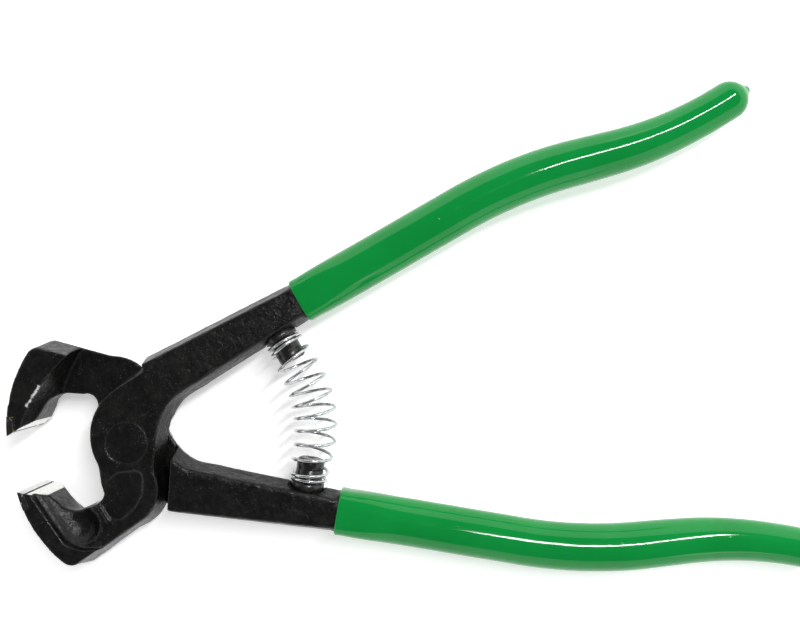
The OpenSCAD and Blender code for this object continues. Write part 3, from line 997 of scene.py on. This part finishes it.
@dataclass
class ReturnSpring:
    """The coil between the two pegs, barrelled and bowed away from the pivot."""

    wire: float = 0.8
    turns: float = 11.5
    dead_turns: float = 1.2
    coil_radius: float = 4.3
    barrel: float = 0.85
    bow: float = 4.7
    phase: float = math.radians(259.0)
    foot: Vector = field(default_factory=Vector)
    tilt: float = 0.0
    steps_per_turn: int = 30
    end_steps: int = 4
    dead_pitch: float = 1.15
    held_share: float = 0.72

    def shape(self) -> float:
        """How the bow is shaped so that it leaves both pegs along their axes."""
        return math.tan(self.tilt) * self.foot.y / (2.0 * self.bow) - 1.0

    def centre(self, w: float) -> Vector:
        """The spring's axis at height w, from -1 at the rear peg to 1 at the front one."""
        lift = self.bow * (1.0 - w * w) * (1.0 + self.shape() * w * w)
        return Vector((self.foot.x + lift, self.foot.y * w, 0.0))

    def lean(self, w: float) -> float:
        """The axis's turn from the Y axis at height w, in radians."""
        slope = self.shape() * (1.0 - 2.0 * w * w) - 1.0
        return math.atan2(2.0 * self.bow * w * slope, self.foot.y)

    def height(self, u: float) -> float:
        """The height after u turns, with the dead turns at both ends lying close."""
        rise = self.dead_pitch * self.wire / self.foot.y
        if u < self.dead_turns:
            return rise * u - 1.0
        if u > self.turns - self.dead_turns:
            return 1.0 - rise * (self.turns - u)
        low = rise * self.dead_turns - 1.0
        return low * (self.turns - 2.0 * u) / (self.turns - 2.0 * self.dead_turns)

    def point(self, u: float) -> Vector:
        """The wire's centre after u turns, in millimetres."""
        w = self.height(u)
        r = self.coil_radius + self.barrel * (1.0 - w * w)
        f = math.tau * u + self.phase
        a = self.lean(w)
        out = Vector((r * math.sin(f) * math.cos(a), -r * math.sin(f) * math.sin(a), r * math.cos(f)))
        return self.centre(w) + out

    def build(self, finishes: Finishes, peg: SpringPeg) -> bpy.types.Object:
        """Makes the spring and bends it between the levers.

        Args:
            finishes: the materials.
            peg: one of the pegs that hold it.

        Returns:
            The piece.
        """
        self.tilt = CLOSED.half_open + peg.tilt
        foot = CLOSED.to_rest(Side.FRONT) @ Vector((peg.along, peg.foot, 0.0))
        rise = peg.collar_top + 0.15 + self.wire / 2.0
        self.foot = foot + rise * Vector((math.sin(self.tilt), -math.cos(self.tilt), 0.0))
        count = int(self.turns * self.steps_per_turn)
        line = [self.point(self.turns * i / count) * MM for i in range(count + 1)]
        pinch = [0.25 * max(0.0, 1.0 - min(i, count - i) / self.end_steps) for i in range(count + 1)]
        piece = tube_of("coil", line, [self.wire / 2.0 * MM * (1.0 - p) for p in pinch], 4)
        dress(piece, finishes.zinc, "zinc_wire", None, "return_spring")
        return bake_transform(piece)


# ---------------------------------------------------------------- grips


LIP = ((3.0, 4.55), (1.2, 4.75), (0.30, 4.95), (0.08, 5.12), (0.0, 5.28), (0.06, 5.44), (0.22, 5.57),
       (0.48, 5.64), (0.85, 5.66), (1.4, 5.63), (2.2, 5.62), (3.4, 5.66), (5.0, 5.73), (7.5, 5.80))
DRIP = ((-0.35, 2.15), (0.0, 1.72), (0.3, 1.42), (0.7, 1.12), (1.0, 0.78), (1.14, 0.45))


@dataclass
class Grip:
    """A dipped grip: a rolled lip, a straight part, the palm swell, the hook and a drip."""

    side: Side
    start: Pair = (52.0, 14.3)
    reach: float = HANDLE_REACH
    heading: float = math.radians(5.6)
    swell_turn: float = math.radians(15.1)
    swell_radius: float = 114.0
    hook_turn: float = math.radians(16.5)
    hook_radius: float = 97.0
    waist: float = 10.0
    tail: float = 10.0
    wide: float = 5.85
    narrow: float = 4.8
    nib: float = 1.2
    nib_end: float = 0.14
    drip_from: float = 2.4
    lip_run: float = 10.0
    taper_lead: float = 6.0
    taper_tail: float = 4.0
    squareness: float = 1.1
    square_run: float = 16.0
    wave_depth: float = 0.05 * MM
    wave_length: float = 9.0 * MM
    body_rings: int = 60
    dome_rings: int = 13
    segments: int = 64

    def route(self) -> tuple[Callable[[float], tuple[Vector, float]], dict[str, float]]:
        """Works out the handle's centre line.

        Returns:
            A function from length along the handle to a point and a heading, and the lengths
            at which the swell, the waist, the hook, the tail and the end start.
        """
        def along(a: float) -> Vector:
            """The unit vector of a heading."""
            return Vector((math.cos(a), math.sin(a)))

        def bend(r: float, a: float, turn: float) -> Vector:
            """The way from the start to the end of an arc that starts at heading a."""
            way = math.copysign(1.0, turn) * r
            return way * Vector((math.sin(a + turn) - math.sin(a), math.cos(a) - math.cos(a + turn)))

        low = self.heading - self.swell_turn
        last = low + self.hook_turn
        run = (bend(self.swell_radius, self.heading, -self.swell_turn).x + self.waist * math.cos(low)
               + bend(self.hook_radius, low, self.hook_turn).x + self.tail * math.cos(last))
        palm = (self.reach - self.start[0] - run) / math.cos(self.heading)
        at = {"swell": palm, "waist": palm + self.swell_radius * self.swell_turn}
        at["hook"] = at["waist"] + self.waist
        at["tail"] = at["hook"] + self.hook_radius * self.hook_turn
        at["end"] = at["tail"] + self.tail
        swell = Vector(self.start) + palm * along(self.heading)
        waist = swell + bend(self.swell_radius, self.heading, -self.swell_turn)
        hook = waist + self.waist * along(low)
        tail = hook + bend(self.hook_radius, low, self.hook_turn)

        def place(s: float) -> tuple[Vector, float]:
            """The point and the heading at length s."""
            if s < at["swell"]:
                return swell + (s - at["swell"]) * along(self.heading), self.heading
            if s < at["waist"]:
                turn = -(s - at["swell"]) / self.swell_radius
                return swell + bend(self.swell_radius, self.heading, turn), self.heading + turn
            if s < at["hook"]:
                return waist + (s - at["waist"]) * along(low), low
            if s < at["tail"]:
                turn = (s - at["hook"]) / self.hook_radius
                return hook + bend(self.hook_radius, low, turn), low + turn
            return tail + (s - at["tail"]) * along(last), last

        return place, at

    def stations(self, at: dict[str, float]) -> list[Pair]:
        """The length and radius of each ring, from inside the lip to the end of the drip.

        Args:
            at: the lengths from route.

        Returns:
            Pairs of length and radius, in millimetres.
        """
        dome_end = at["end"] - self.nib
        dome_start = dome_end - self.narrow
        taper = at["waist"] - self.taper_lead
        taper_run = at["tail"] + self.taper_tail - taper
        main = []
        for i in range(self.body_rings + 1):
            s = self.lip_run + (dome_start - self.lip_run) * i / self.body_rings
            main.append((s, self.wide + (self.narrow - self.wide) * smoothstep((s - taper) / taper_run)))
        dome = []
        for i in range(1, self.dome_rings):
            turn = math.radians(90.0 * i / self.dome_rings)
            dome.append((dome_start + self.narrow * math.sin(turn), self.narrow * math.cos(turn)))
        drip = [(dome_end + run, r) for run, r in DRIP] + [(dome_end + self.nib, self.nib_end)]
        return [*LIP, *main, *(ring for ring in dome if ring[1] > self.drip_from), *drip]

    def ring(self, centre: Vector, heading: float, r: float, square: float) -> list[Vector]:
        """One ring of the grip, which is squarer near its lip.

        Args:
            centre: its middle, in millimetres.
            heading: the handle's heading there.
            r: its radius, in millimetres.
            square: how square it is, from 0 for round.

        Returns:
            Its points in the closed frame, in metres.
        """
        power = 2.0 / (2.0 + self.squareness * square)
        points = []
        for i in range(self.segments):
            a = math.tau * i / self.segments
            across = r * math.copysign(abs(math.cos(a)) ** power, math.cos(a))
            up = r * math.copysign(abs(math.sin(a)) ** power, math.sin(a))
            x = centre.x - across * math.sin(heading)
            y = centre.y + across * math.cos(heading)
            points.append(Vector((x, y, up)) * MM)
        return points

    def build(self, finishes: Finishes) -> bpy.types.Object:
        """Makes the grip.

        Args:
            finishes: the materials.

        Returns:
            The piece.
        """
        place, at = self.route()
        rings = [self.ring(*place(s), r, 1.0 - smoothstep(s / self.square_run)) for s, r in self.stations(at)]
        bm = lofted(rings)
        bm.normal_update()
        for vert in bm.verts:
            vert.co += vert.normal * self.wave_depth * noise.noise(vert.co / self.wave_length)
        bm.transform(CLOSED.to_rest(self.side))
        name = self.side.value
        piece = new_piece(f"{name}_dipped_grip", bm)
        return dress(piece, finishes.vinyl, "green_vinyl", name, f"{name}_grip")


# ---------------------------------------------------------------- studio


@dataclass(frozen=True)
class SoftBox:
    """One soft light, aimed at the middle of the tool."""

    name: str
    at: tuple[float, float, float]
    size: Pair
    power: float

    def build(self, aim: Vector) -> None:
        """Makes the light.

        Args:
            aim: the point it faces.
        """
        data = bpy.data.lights.new(self.name, "AREA")
        data.shape = "RECTANGLE"
        data.size, data.size_y = self.size
        data.energy = self.power
        light = bpy.data.objects.new(self.name, data)
        light.location = self.at
        light.rotation_euler = (aim - Vector(self.at)).to_track_quat("-Z", "Y").to_euler()
        bpy.context.scene.collection.objects.link(light)


@dataclass
class Studio:
    """Floor, lights and camera."""

    eye: tuple[float, float, float] = (72.83, 16.60, 212.01)
    turn: tuple[float, float, float] = (0.143, 0.610, -10.284)
    lens: float = 38.25
    floor_size: float = 3.0
    floor_gap: float = 0.02 * MM
    key: SoftBox = SoftBox("key", (0.41, 0.25, 0.72), (0.05, 0.42), 4.4)
    sky_strength: float = 0.16
    tent_sides: int = 8
    tent_reach: float = 1.05
    tent_height: float = 0.31
    tent_size: Pair = (0.86, 0.62)
    tent_power: float = 2.5
    bright_way: float = math.radians(50.0)
    dim_side: float = 0.8

    def tent(self) -> list[SoftBox]:
        """Soft walls all round the tool, dimmer to the left and below."""
        walls = []
        for i in range(self.tent_sides):
            way = math.tau * i / self.tent_sides
            share = self.dim_side + (1.0 - self.dim_side) * (0.5 + 0.5 * math.cos(way - self.bright_way))
            at = (self.tent_reach * math.cos(way), self.tent_reach * math.sin(way), self.tent_height)
            walls.append(SoftBox(f"wall_{i}", at, self.tent_size, self.tent_power * share))
        return walls

    def build(self, finishes: Finishes, low: Vector, high: Vector) -> None:
        """Makes the studio round the tool.

        Args:
            finishes: the materials.
            low: the tool's lowest corner.
            high: the tool's highest corner.
        """
        scene = bpy.context.scene
        bm = bmesh.new()
        bmesh.ops.create_grid(bm, x_segments=1, y_segments=1, size=self.floor_size)
        bmesh.ops.translate(bm, verts=bm.verts, vec=(0.0, 0.0, low.z - self.floor_gap))
        floor = new_piece("floor", bm, smooth=False)
        floor.data.materials.append(finishes.floor)
        floor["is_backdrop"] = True

        world = bpy.data.worlds.new("studio")
        world.use_nodes = True
        sky = world.node_tree.nodes["Background"]
        sky.inputs["Color"].default_value = (1.0, 1.0, 1.0, 1.0)
        sky.inputs["Strength"].default_value = self.sky_strength
        scene.world = world
        middle = (low + high) / 2.0
        for box in (self.key, *self.tent()):
            box.build(middle)

        data = bpy.data.cameras.new("camera")
        data.sensor_width = 36.0
        data.lens = self.lens
        data.clip_start = 0.005
        camera = bpy.data.objects.new("camera", data)
        camera.location = Vector(self.eye) * MM
        camera.rotation_euler = Euler([math.radians(a) for a in self.turn], "XYZ")
        scene.collection.objects.link(camera)
        scene.camera = camera
        scene.view_settings.view_transform = "Standard"


def main() -> None:
    """Builds every piece in order."""
    logging.basicConfig(level=logging.INFO, format="%(name)s: %(message)s")
    low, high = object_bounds()
    finishes = Finishes()
    for side in Side:
        Forging(side).build(finishes)
        CuttingEdge(side).build(finishes)
    PivotRivet().build(finishes)
    pegs = [SpringPeg(side) for side in Side]
    for peg in pegs:
        peg.build(finishes)
    ReturnSpring().build(finishes, pegs[0])
    for side in Side:
        Grip(side).build(finishes)
    Studio().build(finishes, low, high)
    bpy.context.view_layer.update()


if __name__ == "__main__":
    main()
